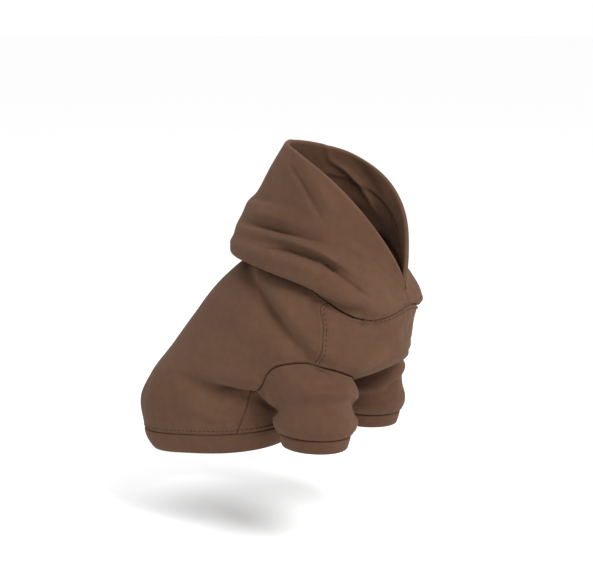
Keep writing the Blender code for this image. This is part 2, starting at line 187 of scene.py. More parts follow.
HOOD_FOLDS = (
    # The crisp crease over the side, with the roll swelling under it and the hood over it
    (2.3, 1.7, 0.1, 0.6, ((0.262, 58), (0.275, 70), (0.300, 80), (0.305, 92), (0.315, 102), (0.303, 110))),
    (2.0, 1.9, 0.8, 0.0, ((0.310, 104), (0.298, 112), (0.261, 124), (0.215, 133), (0.15, 142))),
    (3.0, 6.5, 0.1, 0.2, ((0.285, 60), (0.310, 84), (0.322, 102), (0.28, 120), (0.20, 135), (0.14, 143))),
    (-2.6, 6.5, 0.1, 0.2, ((0.355, 62), (0.385, 84), (0.392, 98), (0.36, 114), (0.29, 128))),
    (-2.4, 8.5, 0.2, 0.1, ((0.20, 56), (0.235, 86), (0.24, 106), (0.19, 122))),
    # The broad hollow under the back of the hood
    (5.2, 9.5, 0.0, 0.0, ((0.46, 12), (0.455, 46), (0.452, 75), (0.478, 94), (0.49, 112))),
    (1.8, 3.6, 0.0, 0.0, ((0.455, 34), (0.455, 62), (0.475, 86), (0.49, 104))),
    (-1.8, 9.0, 0.0, 0.0, ((0.56, 30), (0.57, 60), (0.59, 88))),
    # The soft crease down from the crown, which fades towards the cheek
    (2.2, 2.6, 0.35, 0.0, ((1.0, 38), (0.940, 45), (0.904, 59), (0.854, 71), (0.787, 82), (0.70, 92))),
    (-1.6, 7.0, 0.6, 0.0, ((1.0, 52), (0.95, 66), (0.89, 79), (0.82, 92))),
    (1.2, 9.0, 0.3, 0.0, ((0.94, 24), (0.84, 46), (0.74, 62))),
    # Where the hood sinks to the front of the neck seam
    (3.4, 6.0, 0.6, 0.2, ((0.02, 100), (0.04, 112), (0.07, 126), (0.12, 140))),
    # A soft dip over the back of the head, and the cheek a little full
    (1.4, 8.0, 0.0, 0.0, ((0.68, 8), (0.71, 40), (0.69, 68))),
    (-1.2, 10.0, 0.0, 0.0, ((0.52, 124), (0.66, 116), (0.80, 110))),
)
SLEEVE_FOLDS = (
    # The notches half way down, behind and in front
    (2.4, 4.2, 0.0, 0.0, ((0.34, 196), (0.45, 214), (0.53, 236), (0.56, 262))),
    (2.4, 4.0, 0.0, 0.0, ((0.36, 92), (0.44, 70), (0.49, 46), (0.49, 22))),
    # Soft rolls between the notches and the cuff
    (1.6, 5.0, 0.0, 0.0, ((0.60, 150), (0.66, 180), (0.64, 214))),
    (-1.8, 6.0, 0.0, 0.0, ((0.66, 220), (0.72, 262), (0.70, 300))),
    (-1.4, 7.0, 0.0, 0.0, ((0.74, 20), (0.76, 60), (0.72, 96))),
    # Short creases from the armhole and over the cuff seam
    (1.3, 4.5, 0.6, 0.0, ((0.02, 262), (0.14, 250), (0.28, 246))),
    (1.2, 4.0, 0.0, 0.5, ((0.78, 232), (0.92, 240), (1.0, 244))),
    (1.2, 4.0, 0.0, 0.5, ((0.80, 128), (0.93, 124), (1.0, 120))),
    (-1.0, 8.0, 0.0, 0.0, ((0.18, 300), (0.26, 330), (0.24, 352))),
)

# Seams, in millimetres: how far the cloth rolls in at the seam, how far the folded cloth under it lifts
# it beside the seam, and how far the stitches pull it in
ROLL_IN, ROLL_BREADTH = 1.2, 0.6
LIFT, LIFT_AT, LIFT_BREADTH = 0.45, 1.7, 1.0
PULL, PULL_BREADTH = 0.40, 0.55
TOPSTITCH_AT = 2.9
PUCKER, PUCKER_PITCH, PUCKER_AT, PUCKER_BREADTH = 0.16, 9.0, 4.5, 3.5

# Thread
STITCH_PITCH = 4.0 * MM
STITCH_LENGTH = 2.7 * MM
THREAD = 0.75 * MM
THREAD_SIDES = 6

# The knit's look: how far its courses arch over the wales, in radians, and the sizes of the fuzz on it,
# of the mottling and of the broad changes of tone
ARCH = 1.2
FUZZ = 1.1 * MM
MOTTLE = 7.0 * MM
BROAD_TONE = 55.0 * MM

# Rows and columns of the fine grids
ROWS_ABOVE_ARMHOLE = 64
ROWS_BESIDE_ARMHOLE = 84
ROWS_BELOW_ARMHOLE = 36
BACK_COLUMNS = 210
CHEST_COLUMNS = 120
BACK_CROWDING = 3.0
CHEST_CROWDING = 1.4
HOOD_ROWS = 175
HOOD_SIDE_COLUMNS = 200
SLEEVE_ROWS = 120
CUFF_ROWS = 22
HEM_ROWS = 26
HEM_COLUMNS = 440
LINE_STEPS = 900
CUFF_TURNS = 200
SHARP_FROM = math.radians(60)

STEP = 1e-4
RIGHT, LEFT = -1, 1
HANDS = {"right": RIGHT, "left": LEFT}

# The stage
FLOOR_BELOW_NECK = 0.214
FLOOR_REACH = 200.0
TARGET = Vector((0, 0.0519, -0.0059))
CAMERA_AZIMUTH, CAMERA_ELEVATION, CAMERA_DISTANCE = -60, 10, 1.12
LENS, SENSOR_WIDTH = 85, 36

# Its lights: azimuth and elevation in degrees, distance and size in metres, power in watts
LIGHTS = {
    "key": (-26, 40, 1.6, 0.6, 25.0),
    "top": (-100, 75, 1.8, 1.2, 4.0),
}


# The part's surfaces


def table(names, rows):
    """The rows of a table as one array for each named column."""
    return dict(zip(names, np.array(rows, float).T))


def smooth(places, values, at):
    """A smooth curve through the values at those places, read where at says: a cubic Hermite curve."""
    slopes = np.gradient(values, places)
    i = np.clip(np.searchsorted(places, at, side="right") - 1, 0, len(places) - 2)
    span = places[i + 1] - places[i]
    s = (at - places[i]) / span
    rise = values[i] * (1 + 2 * s) * (1 - s) ** 2 + values[i + 1] * s * s * (3 - 2 * s)
    return rise + span * (slopes[i] * s * (1 - s) ** 2 - slopes[i + 1] * s * s * (1 - s))


def section(back, front, half_width, angle, back_square, front_square, pinch=0.0):
    """A closed section: the superellipse r = (|cos|^e + |sin|^e)^(-1/e), stretched between its back and
    front points and to its half width, and narrowed to the front by (1 - f^3)^(pinch / 2)."""
    f = (1 - np.cos(angle)) / 2
    e = back_square * (1 - f) + front_square * f
    r = (np.abs(np.cos(angle)) ** e + np.abs(np.sin(angle)) ** e) ** (-1 / e)
    points = (back + front) / 2 + (back - front) / 2 * (r * np.cos(angle))[..., None]
    points[..., 0] = half_width * r * np.sin(angle) * np.maximum(1 - f**3, 0) ** (pinch / 2)
    return points


def on_middle(y, z):
    """Points on the middle plane."""
    y, z = np.broadcast_arrays(y, z)
    return np.stack([np.zeros_like(y), y, z], axis=-1)


def neck_end():
    """The neck seam's back point on the middle plane, as (y, z). The front one is its opposite."""
    return NECK_LENGTH / 2 * math.cos(NECK_TILT), NECK_LENGTH / 2 * math.sin(NECK_TILT)


def neck_sag(at, angle):
    """How far the cloth by the neck seam hangs below the seam's plane: most at the front quarters."""
    front = (1 - np.cos(angle)) / 2
    fade = np.maximum(1 - at / NECK_SAG_REACH, 0) ** 2
    return NECK_SAG * np.sin(angle) ** 2 * front**2 * fade


def body_form(at, angle):
    """The body without its folds: sections between the line of the back and the line of the belly."""
    neck_y, neck_z = neck_end()
    t = table(BODY_COLUMNS, BODY_SECTIONS)
    places = np.append(0, t["at"])

    def column(at_neck, values):
        return smooth(places, np.append(at_neck, values), at)

    back = on_middle(
        column(neck_y, t["back_along"] * BODY_LENGTH - CHEST_REACH),
        column(neck_z, -t["back_drop"] * BODY_DROP),
    )
    front = on_middle(
        column(-neck_y, t["front_along"] * BODY_LENGTH - CHEST_REACH),
        column(-neck_z, -t["front_drop"] * BODY_DROP),
    )
    half_width = column(NECK_WIDTH / 2, t["half_width"] * BODY_WIDTH / 2)
    squares = column(2.0, t["back_square"]), column(NECK_FRONT_SQUARE, t["front_square"])
    points = section(back, front, half_width, angle, *squares)
    points[..., 2] -= neck_sag(at, angle)
    return points


def hood_form(at, angle):
    """The hood without its folds: sections from the neck seam, out over the roll and up to the edge."""
    neck_y, neck_z = neck_end()
    t = table(HOOD_COLUMNS, HOOD_SECTIONS)
    places = np.append(0, t["at"])

    def column(at_neck, values):
        return smooth(places, np.append(at_neck, values), at)

    back = on_middle(
        column(neck_y, t["back_reach"] * HOOD_REACH),
        column(neck_z, t["back_rise"] * HOOD_RISE),
    )
    front = on_middle(
        column(-neck_y, t["front_lift"] * HOOD_FRONT_STEP - neck_y),
        column(-neck_z, t["front_lift"] * HOOD_FRONT_LIFT - neck_z),
    )
    half_width = column(NECK_WIDTH / 2, t["half_width"] * HOOD_WIDTH / 2)
    pinch = np.maximum(column(0.0, t["pinch"]), 0)
    front_square = column(NECK_FRONT_SQUARE, t["front_square"])
    points = section(back, front, half_width, angle, 2.0, front_square, pinch)
    across = np.sin(angle) ** 2
    points[..., 1] += across * column(0.0, t["side_shift"] * HOOD_REACH)
    points[..., 2] += across * column(0.0, t["side_rise"] * HOOD_RISE) - neck_sag(at, angle) + SEAM_GAP
    return points


def seam_angle(at):
    """The angle round the body of the seam between back and chest."""
    t = table(SEAM_COLUMNS, SIDE_SEAM)
    return np.radians(smooth(t["at"], t["angle"], at))


def armhole_to_back(turn):
    """How far the armhole reaches into the back panel: further near its top, by the lean."""
    return ARMHOLE_TO_BACK * (1 + ARMHOLE_LEAN * np.cos(turn))


def armhole(turn, inset):
    """Points round the left armhole, as (at, angle): turn 0 is its top and pi its foot, and sin(turn)
    is above zero towards the chest. The inset draws the loop in."""
    middle, half = (ARMHOLE_TOP + ARMHOLE_FOOT) / 2, (ARMHOLE_FOOT - ARMHOLE_TOP) / 2
    at = middle - (half - inset / BODY_LENGTH) * np.cos(turn)
    reach = np.where(np.sin(turn) > 0, ARMHOLE_TO_CHEST, armhole_to_back(turn)) - 2 * inset / BODY_WIDTH
    return at, seam_angle(at) + reach * np.sin(turn)


def sleeve_form(at, turn):
    """The left sleeve without its folds: from the armhole's outline to the oval of the cuff seam."""
    loop = body(*armhole(turn, SEAM_GAP))
    t = table(SLEEVE_COLUMNS, SLEEVE_SECTIONS)
    follow, drop, length, width = (smooth(t["at"], t[name], at) for name in SLEEVE_COLUMNS[1:])
    start = body(*armhole(np.array([0.0, math.pi / 2, math.pi, -math.pi / 2]), SEAM_GAP))
    middle = start.mean(axis=0)
    bearing = np.arctan2(loop[..., 0] - middle[0], loop[..., 1] - middle[1])
    oval = np.stack([
        SLEEVE_SPACING / 2 + width * SLEEVE_WIDTH / 2 * np.sin(bearing),
        SLEEVE_BEHIND_NECK + length * SLEEVE_LENGTH / 2 * np.cos(bearing),
        loop[..., 2] + 0 * at,
    ], axis=-1)
    points = oval + follow[..., None] * (loop - oval)
    points[..., 2] -= drop * (SLEEVE_DROP + points[..., 2])
    return points


def normals(surface, at, angle):
    """The unit normals of a surface, from its slopes both ways: outwards where "at" runs up."""
    along = surface(at + STEP, angle) - surface(at - STEP, angle)
    round_it = surface(at, angle + STEP) - surface(at, angle - STEP)
    n = np.cross(along, round_it)
    return n / np.linalg.norm(n, axis=-1, keepdims=True)


# Folds


def wrapped(angle):
    """The same angle between -pi and pi."""
    return (angle + math.pi) % (2 * math.pi) - math.pi


def eased(s):
    """A share that leaves 0 and reaches 1 without a corner: s^2 (3 - 2 s)."""
    s = np.clip(s, 0, 1)
    return s * s * (3 - 2 * s)


def fold_depth(folds, hands, length, width, at, angle):
    """The sum of a piece's folds. Each is a bell exp(-(distance / breadth)^2) across its line of places,
    and along the line its strength eases from the first place's to 1 half way and on to the last's."""
    here = np.stack(np.broadcast_arrays(at * length, angle * width / 2), axis=-1)
    depth = np.zeros(here.shape[:-1])
    for deep, breadth, first, last, places in folds:
        for hand in hands:
            line = np.array(places, float) * (length, hand * math.radians(1) * width / 2)
            spans = np.linalg.norm(np.diff(line, axis=0), axis=1)
            nearest = np.full(here.shape[:-1], np.inf)
            share = np.zeros(here.shape[:-1])
            for i, span in enumerate(spans):
                way = line[i + 1] - line[i]
                s = np.clip(((here - line[i]) @ way) / span**2, 0, 1)
                off = np.linalg.norm(here - line[i] - s[..., None] * way, axis=-1)
                share = np.where(off < nearest, (spans[:i].sum() + s * span) / spans.sum(), share)
                nearest = np.minimum(nearest, off)
            strength = np.where(
                share < 0.5,
                first + (1 - first) * eased(2 * share),
                last + (1 - last) * eased(2 - 2 * share),
            )
            depth += deep * MM * strength * np.exp(-((nearest / (breadth * MM)) ** 2))
    return depth


def wander(points):
    """The slight unevenness of soft cloth: three slow waves through space, in no two places alike."""
    x, y, z = (points[..., i] / MM for i in range(3))
    waves = (
        np.sin(x / 9.1 + y / 13.7 + 1.3 * np.sin(z / 17.0))
        + np.sin(y / 8.3 - z / 11.9 + 1.1 * np.sin(x / 15.0) + 2.0)
        + np.sin(z / 7.7 + x / 14.3 + 1.2 * np.sin(y / 19.0) + 4.0)
    )
    return 0.11 * MM * waves


def body(at, angle):
    """The outer face of the body. Its folds begin a little past the neck seam, which holds it."""
    form = body_form(at, angle)
    depth = fold_depth(BODY_FOLDS, (RIGHT, LEFT), BODY_LENGTH, BODY_WIDTH, at, wrapped(angle))
    depth = (depth + wander(form)) * eased(at / NECK_HOLD)
    return form + depth[..., None] * normals(body_form, at, angle)


def hood(at, angle):
    """The outer face of the hood. Its folds begin a little past the neck seam, which holds it."""
    form = hood_form(at, angle)
    depth = fold_depth(HOOD_FOLDS, (RIGHT, LEFT), HOOD_CLOTH, HOOD_WIDTH, at, wrapped(angle))
    depth = (depth + wander(form)) * eased(at / NECK_HOLD)
    return form - depth[..., None] * normals(hood_form, at, angle)


def sleeve(at, turn):
    """The outer face of the left sleeve."""
    form = sleeve_form(at, turn)
    turn_on = turn % (2 * math.pi)
    depth = fold_depth(SLEEVE_FOLDS, (LEFT,), SLEEVE_DROP / 2, SLEEVE_LENGTH, at, turn_on) + wander(form)
    return form + depth[..., None] * normals(sleeve_form, at, turn)


def cuff(down, turn):
    """The outer face of the left cuff: from the sleeve's last outline to the cuff's oval, a little full."""
    seam = sleeve(np.ones_like(down), turn)
    bearing = np.arctan2(seam[..., 0] - SLEEVE_SPACING / 2, seam[..., 1] - SLEEVE_BEHIND_NECK)
    edge = np.stack([
        SLEEVE_SPACING / 2 + CUFF_WIDTH / 2 * np.sin(bearing),
        SLEEVE_BEHIND_NECK + CUFF_LENGTH / 2 * np.cos(bearing),
        seam[..., 2] - CUFF_HEIGHT,
    ], axis=-1)
    return seam + down[..., None] * (edge - seam)


def hem(down, angle):
    """The outer face of the hem band: it draws in by the taper, and at the back it tucks under the rump."""
    seam = body(np.ones_like(down), angle)
    middle = body(1.0, np.linspace(-math.pi, math.pi, 52, endpoint=False)).mean(axis=0)
    drawn = 1 - down**2 * HEM_BAND_TAPER / (BODY_WIDTH / 2)
    points = middle + (seam - middle) * drawn[..., None]
    points[..., 1] -= HEM_BAND_TUCK * down**2 * np.maximum(np.cos(angle), 0) ** 2
    points[..., 2] = seam[..., 2] - HEM_BAND_HEIGHT * down
    return points


# Seams


def nearest_on(points, line):
    """For each point, its distance from a line of many short steps, and how far along the line it is."""
    run = np.append(0, np.cumsum(np.linalg.norm(np.diff(line, axis=0), axis=1)))
    way = np.gradient(line, axis=0)
    way /= np.linalg.norm(way, axis=1, keepdims=True)
    flat = points.reshape(-1, 3)
    nearest = []
    for block in np.array_split(flat, 24):
        squares = (block**2).sum(1)[:, None] + (line**2).sum(1) - 2 * block @ line.T
        nearest.append(squares.argmin(axis=1))
    i = np.concatenate(nearest)
    off = flat - line[i]
    along = (off * way[i]).sum(1)
    inside = (i > 0) & (i < len(line) - 1)
    beside = np.sqrt(np.maximum((off**2).sum(1) - along**2, 0))
    across = np.where(inside, beside, np.linalg.norm(off, axis=1))
    shape = points.shape[:-1]
    return across.reshape(shape), (run[i] + along).reshape(shape)


def seam_relief(points, line, crispness, topstitched=False):
    """How far cloth stands out beside a seam, as a sum of bells of the distance from it: it rolls in at
    the seam, as far as the seam is crisp, lifts over the folded cloth beside it, and puckers. A topstitch
    pulls it in once more."""
    across, along = nearest_on(points, line)
    across, along = across / MM, along / MM

    def bell(at, breadth):
        return np.exp(-(((across - at) / breadth) ** 2))

    waves = np.cos(2 * math.pi * along / PUCKER_PITCH + 1.7 * np.sin(along / 23.0))
    relief = LIFT * bell(LIFT_AT, LIFT_BREADTH) - crispness * ROLL_IN * bell(0, ROLL_BREADTH)
    relief += PUCKER * waves * bell(PUCKER_AT, PUCKER_BREADTH)
    if topstitched:
        held = 0.65 + 0.35 * np.cos(2 * math.pi * along * MM / STITCH_PITCH)
        relief -= PULL * held * bell(TOPSTITCH_AT, PULL_BREADTH)
    return relief * MM


def on_side(line, hand):
    """Points of the left side, put on the side that the hand names."""
    return line * (HANDS[hand], 1, 1)


def round_line(surface, at):
    """The closed line round a surface at one height."""
    return surface(at, np.linspace(-math.pi, math.pi, LINE_STEPS))


def neck_line():
    """The neck seam."""
    return round_line(body, np.zeros(LINE_STEPS))


def hem_line():
    """The seam over the hem band."""
    return round_line(body, np.ones(LINE_STEPS))


def shoulder_line(hand):
    """The seam between back and chest, from the neck to the armhole."""
    at = np.linspace(0, ARMHOLE_TOP, LINE_STEPS // 2)
    return body(at, HANDS[hand] * seam_angle(at))


def flank_line(hand):
    """The seam between back and chest, from the armhole to the hem."""
    at = np.linspace(ARMHOLE_FOOT, 1, LINE_STEPS // 4)
    return body(at, HANDS[hand] * seam_angle(at))


def armhole_line(hand):
    """The closed seam round an armhole."""
    return on_side(body(*armhole(np.linspace(0, 2 * math.pi, LINE_STEPS // 2), 0.0)), hand)


def cuff_line():
    """The left sleeve's seam over its cuff."""
    return sleeve(np.ones(LINE_STEPS // 2), np.linspace(0, 2 * math.pi, LINE_STEPS // 2))


def crown_line():
    """The seam over the middle of the hood."""
    at = np.linspace(0, 1, LINE_STEPS // 2)
    return hood(at, np.zeros_like(at))


# Cloth


def crowded(count, share):
    """Places from -1 to 1 that crowd towards both ends: u (1 - share) + share sin(u pi / 2)."""
    u = np.linspace(-1, 1, count)
    return u * (1 - share) + share * np.sin(u * math.pi / 2)


def lengths(points, axis):
    """How far each point of a grid is along its own row or column."""
    steps = np.linalg.norm(np.diff(points, axis=axis), axis=-1)
    start = np.zeros_like(np.take(steps, [0], axis=axis))
    return np.concatenate([start, np.cumsum(steps, axis=axis)], axis=axis)


def closed_mesh(name, grid, faces):
    """A smooth mesh of a grid's points and these faces, which all face outwards."""
    mesh = bpy.data.meshes.new(name)
    mesh.from_pydata(grid.reshape(-1, 3).tolist(), [], faces)
    work = bmesh.new()
    work.from_mesh(mesh)
    bmesh.ops.recalc_face_normals(work, faces=work.faces)
    work.to_mesh(mesh)
    work.free()
    mesh.shade_smooth()
    return mesh


def cloth(name, outer, inner, material, replaces, ring=False, rounding=6):
    """A closed piece of cloth between an outer and an inner grid. Its section is one loop: down the outer
    face, round the last row's edge in a half circle, and back up the inner face. A ring's last column
    meets its first. The UV map "cloth" holds metres across and along the cloth."""
    rows, columns = outer.shape[:2]
    turn = np.linspace(0, math.pi, rounding + 2)[1:-1, None, None]
    onwards = outer[-1] - outer[-2] + inner[-1] - inner[-2]
    onwards /= np.linalg.norm(onwards, axis=-1, keepdims=True)
    half = (outer[-1] - inner[-1]) / 2
    reach = np.linalg.norm(half, axis=-1, keepdims=True)
    edge = (outer[-1] + inner[-1]) / 2 + np.cos(turn) * half + np.sin(turn) * reach * onwards
    grid = np.concatenate([outer, edge, inner[::-1]])
    across = lengths(outer, 1)
    if not ring:
        across -= across[:, columns // 2, None]
    across = np.concatenate([across, np.repeat(across[-1:], rounding, 0), across[::-1]])
    along = lengths(grid, 0)
    loop = len(grid)
    index = np.arange(loop * columns).reshape(loop, columns)
    wide = np.concatenate([index, index[:, :1]], axis=1) if ring else index
    below = np.roll(wide, -1, axis=0)
    quads = np.stack([wide[:, :-1], below[:, :-1], below[:, 1:], wide[:, 1:]], axis=-1)
    faces = quads.reshape(-1, 4).tolist()
    if not ring:
        for side, turned in ((index[:, 0], 1), (index[:, -1], -1)):
            front, back = side[:rows], side[:-rows - 1:-1]
            strip = np.stack([front[:-1], back[:-1], back[1:], front[1:]], axis=-1)[:, ::turned]
            faces += strip.tolist()
            faces.append(side[rows - 1:rows + rounding + 1][::-turned].tolist())
    mesh = closed_mesh(name, grid, faces)
    mesh.set_sharp_from_angle(angle=SHARP_FROM)
    corners = np.zeros(len(mesh.loops), np.int32)
    mesh.loops.foreach_get("vertex_index", corners)
    uv = np.stack([across.ravel(), along.ravel()], axis=-1)[corners]
    if ring:
        last = uv[:, 0].max()
        by_face = uv.reshape(-1, 4, 2)
        closing = by_face[..., 0].max(axis=1) - by_face[..., 0].min(axis=1) > last / 2
        by_face[..., 0] += last * (closing[:, None] & (by_face[..., 0] < last / 2))
    layer = mesh.uv_layers.new(name="cloth")
    layer.data.foreach_set("uv", uv.astype(np.float32).ravel())
    return dressed(name, mesh, material, replaces)


def dressed(name, mesh, material, replaces=()):
    """A piece of the object: with its material, on the object's one body, in place of its CAD nodes."""
    mesh.materials.append(material)
    piece = bpy.data.objects.new(name, mesh)
    bpy.context.scene.collection.objects.link(piece)
    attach(piece, "root")
    if replaces:
        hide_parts(*replaces)
    return piece


def body_rows():
    """The heights of the body's rows: close together at both seams and where the armhole turns."""
    above = ARMHOLE_TOP * (crowded(ROWS_ABOVE_ARMHOLE + 1, 0.6)[:-1] + 1) / 2
    turn = np.linspace(0, math.pi, ROWS_BESIDE_ARMHOLE, endpoint=False)
    beside = (ARMHOLE_TOP + ARMHOLE_FOOT) / 2 - (ARMHOLE_FOOT - ARMHOLE_TOP) / 2 * np.cos(turn)
    below = ARMHOLE_FOOT + (1 - ARMHOLE_FOOT) * (crowded(ROWS_BELOW_ARMHOLE, 0.6) + 1) / 2
    return np.concatenate([above, beside, below])[:, None]


def armhole_turn(at):
    """The turn round the armhole at this height, or one of its ends above and below it."""
    s = (at - ARMHOLE_TOP) / (ARMHOLE_FOOT - ARMHOLE_TOP)
    return np.arccos(np.clip(1 - 2 * s, -1, 1))


def body_panel(name, middle, reach, bite, crowding, columns, topstitched_shoulder, material):
    """A panel of the body between two seams. Its columns lie at u reach to both sides of its middle, less
    the armhole's bite times |u|^crowding, so that only the columns near an armhole bend round it."""
    at = body_rows()
    u = crowded(columns + 1, 0.55)
    angle = middle + u * reach - np.sign(u) * np.abs(u) ** crowding * bite
    face = body(at, angle)
    inwards = normals(body_form, at, angle)
    relief = seam_relief(face, neck_line(), 1.0, True) + seam_relief(face, hem_line(), 0.7, True)
    for hand in HANDS:
        relief += seam_relief(face, shoulder_line(hand), 0.45, topstitched_shoulder)
        relief += seam_relief(face, flank_line(hand), 0.8) + seam_relief(face, armhole_line(hand), 1.0)
    outer = face - relief[..., None] * inwards
    inner = face + CLOTH * inwards
    return cloth(name, outer, inner, material, [name.replace("cloth", "panel")], rounding=1)


def back_cloth(material):
    """The panel over the back, both sides and the rump."""
    at = body_rows()
    turn = armhole_turn(at)
    bite = armhole_to_back(turn) * np.sin(turn)
    reach = seam_angle(at)
    return body_panel("back_cloth", 0, reach, bite, BACK_CROWDING, BACK_COLUMNS, False, material)


def chest_cloth(material):
    """The panel under the neck and along the belly."""
    at = body_rows()
    bite = ARMHOLE_TO_CHEST * np.sin(armhole_turn(at))
    reach = math.pi - seam_angle(at)
    return body_panel("chest_cloth", math.pi, reach, bite, CHEST_CROWDING, CHEST_COLUMNS, True, material)


def hood_cloth(hand, material):
    """One of the hood's two panels, from the middle plane on. Its edge is turned in, which thickens it
    by the opening."""
    at = (crowded(HOOD_ROWS + 1, 0.5)[:, None] + 1) / 2
    angle = math.pi * (crowded(HOOD_SIDE_COLUMNS + 1, 0.55) + 1) / 2
    angle = np.clip(angle, STEP, math.pi - STEP)
    face = hood(at, angle)
    outwards = normals(hood_form, at, angle)
    relief = seam_relief(face, neck_line(), 1.0) + seam_relief(face, crown_line(), 0.45)
    outer = face + relief[..., None] * outwards
    thick = 1 + TURNED_IN_THICKER * eased((at - TURNED_IN_FROM) / TURNED_IN_OVER)
    inner = face - CLOTH * thick[..., None] * outwards
    for side in (outer, inner):
        side[:, (0, -1), 0] = 0
        side[..., 0] = np.maximum(side[..., 0], 0)
    outer, inner = on_side(outer, hand), on_side(inner, hand)
    return cloth("hood_cloth_" + hand, outer, inner, material, ["hood_" + hand])


def sleeve_cloth(hand, material):
    """A sleeve. Its first rows are tucked inside the body, through the armhole."""
    at = (crowded(SLEEVE_ROWS + 1, 0.5)[:, None] + 1) / 2
    turn = np.linspace(0, 2 * math.pi, 2 * ROWS_BESIDE_ARMHOLE + 32, endpoint=False)
    face = sleeve(at, turn)
    inwards = normals(sleeve_form, at, turn)
    relief = seam_relief(face, armhole_line("left"), 0.8) + seam_relief(face, cuff_line(), 0.8)
    outer = face - relief[..., None] * inwards
    inner = face + CLOTH * inwards

    def tucked(inset):
        down, angle = armhole(turn, inset)
        return body(down, angle) + (CLOTH + SLEEVE_TUCK) * normals(body_form, down, angle)

    outer = np.concatenate([tucked(SEAM_GAP)[None], outer])
    inner = np.concatenate([tucked(SEAM_GAP + CLOTH)[None], inner])
    outer, inner = on_side(outer, hand), on_side(inner, hand)
    name, replaces = "sleeve_cloth_" + hand, ["sleeve_" + hand]
    return cloth(name, outer, inner, material, replaces, ring=True, rounding=1)


def band_relief(down, height):
    """How far a doubled band stands out: full between its seam and its fold, and rolled in at the seam."""
    full = np.sqrt(np.maximum(1 - (2 * down - 1) ** 4, 0)) - 1
    return 0.9 * MM * full - ROLL_IN * MM * np.exp(-((down * height / (ROLL_BREADTH * MM)) ** 2)) + 0.5 * MM


def band(name, surface, rows, turn, height, hand, replaces, material):
    """A band of doubled knit round an opening, rounded over its lower fold."""
    down = ((crowded(rows + 1, 0.5)[:, None] + 1) / 2) * (1 - BAND_CLOTH / 2 / height)
    face = surface(down, turn)
    inwards = normals(surface, down, turn)
    outer = face - band_relief(down, height)[..., None] * inwards
    inner = face + BAND_CLOTH * inwards
    outer, inner = (on_side(side, hand) for side in (outer, inner))
    return cloth(name, outer, inner, material, replaces, ring=True, rounding=8)


# Stitches


def stitches(name, lines, material):
    """A row of topstitches for each line of points and their outward normals. Each stitch is a thread in
    an arch: its middle stands out of the cloth, its thickness and its height fall as 1 - s^2 towards both
    ends, and its ends sink in."""
    s = np.array([-1.0, -0.7, 0.0, 0.7, 1.0])
    thick = THREAD / 2 * np.array([0.02, 0.75, 1.0, 0.75, 0.02])
    side = np.linspace(0, 2 * math.pi, THREAD_SIDES, endpoint=False)
    grids = []
    for line, out in lines:
        run = np.append(0, np.cumsum(np.linalg.norm(np.diff(line, axis=0), axis=1)))
        middles = np.arange(STITCH_PITCH / 2, run[-1], STITCH_PITCH)
        centre = np.stack([np.interp(middles, run, line[:, k]) for k in range(3)], axis=-1)
        way = np.stack([np.interp(middles, run, np.gradient(line[:, k], run)) for k in range(3)], axis=-1)
        up = np.stack([np.interp(middles, run, out[:, k]) for k in range(3)], axis=-1)
        way /= np.linalg.norm(way, axis=1, keepdims=True)
        up /= np.linalg.norm(up, axis=1, keepdims=True)
        cross = np.cross(way, up)
        spine = centre[:, None] + STITCH_LENGTH / 2 * s[:, None] * way[:, None]
        spine = spine + THREAD * (0.55 * (1 - s**2) - 0.25)[:, None] * up[:, None]
        ring = np.cos(side)[:, None] * up[:, None, None] + np.sin(side)[:, None] * cross[:, None, None]
        grids.append(spine[:, :, None] + thick[:, None, None] * ring)
    grid = np.concatenate(grids)
    count, rings, sides = grid.shape[:3]
    index = np.arange(grid.size // 3).reshape(count, rings, sides)
    following = np.roll(index, -1, axis=2)
    tube = np.stack([index[:, :-1], following[:, :-1], following[:, 1:], index[:, 1:]], axis=-1)
    ends = np.concatenate([index[:, 0, ::-1], index[:, -1]])
    mesh = closed_mesh(name, grid, tube.reshape(-1, 4).tolist() + ends.tolist())
    return dressed(name, mesh, material)


def in_groove(at, angle, line):
    """Points of the body's face with the seam's relief, and their outward normals."""
    face = body(at, angle)
    outwards = -normals(body_form, at, angle)
    return face + seam_relief(face, line, 1.0, True)[..., None] * outwards, outwards


def round_stitches(at_line, at_seam):
    """The line of a row of stitches round the body, beside the seam at the height at_seam."""
    angle = np.linspace(-math.pi, math.pi, LINE_STEPS)
    step = body_form(at_seam + STEP, angle) - body_form(at_seam - STEP, angle)
    per_share = np.linalg.norm(step, axis=-1) / (2 * STEP)
    side = 1 if at_seam < 0.5 else -1
    return in_groove(at_seam + side * TOPSTITCH_AT * MM / per_share, angle, at_line)


def shoulder_stitches(hand):
    """The line of the stitches on the chest side of a shoulder seam."""
    at = np.linspace(0.022, ARMHOLE_TOP - 0.012, LINE_STEPS // 2)
    angle = HANDS[hand] * seam_angle(at)
    step = body_form(at, angle + STEP) - body_form(at, angle - STEP)
    per_turn = np.linalg.norm(step, axis=-1) / (2 * STEP)
    return in_groove(at, angle + HANDS[hand] * TOPSTITCH_AT * MM / per_turn, shoulder_line(hand))


# Materials


def linear(hex_colour):
    """An sRGB hex colour as linear red, green, blue and 1: c / 12.92 up to 0.04045, and past it
    ((c + 0.055) / 1.055)^2.4."""
    c = np.array([int(hex_colour[i:i + 2], 16) / 255 for i in (1, 3, 5)])
    return (*np.where(c <= 0.04045, c / 12.92, ((c + 0.055) / 1.055) ** 2.4), 1.0)


def add_node(tree, kind, sockets, **settings):
    """Adds a node with its settings, and gives each named socket its value or a link to an output."""
    node = tree.nodes.new(kind)
    for name, value in settings.items():
        setattr(node, name, value)
    for socket, value in sockets.items():
        if isinstance(value, bpy.types.NodeSocket):
            tree.links.new(value, node.inputs[socket])
        else:
            node.inputs[socket].default_value = value
    return node


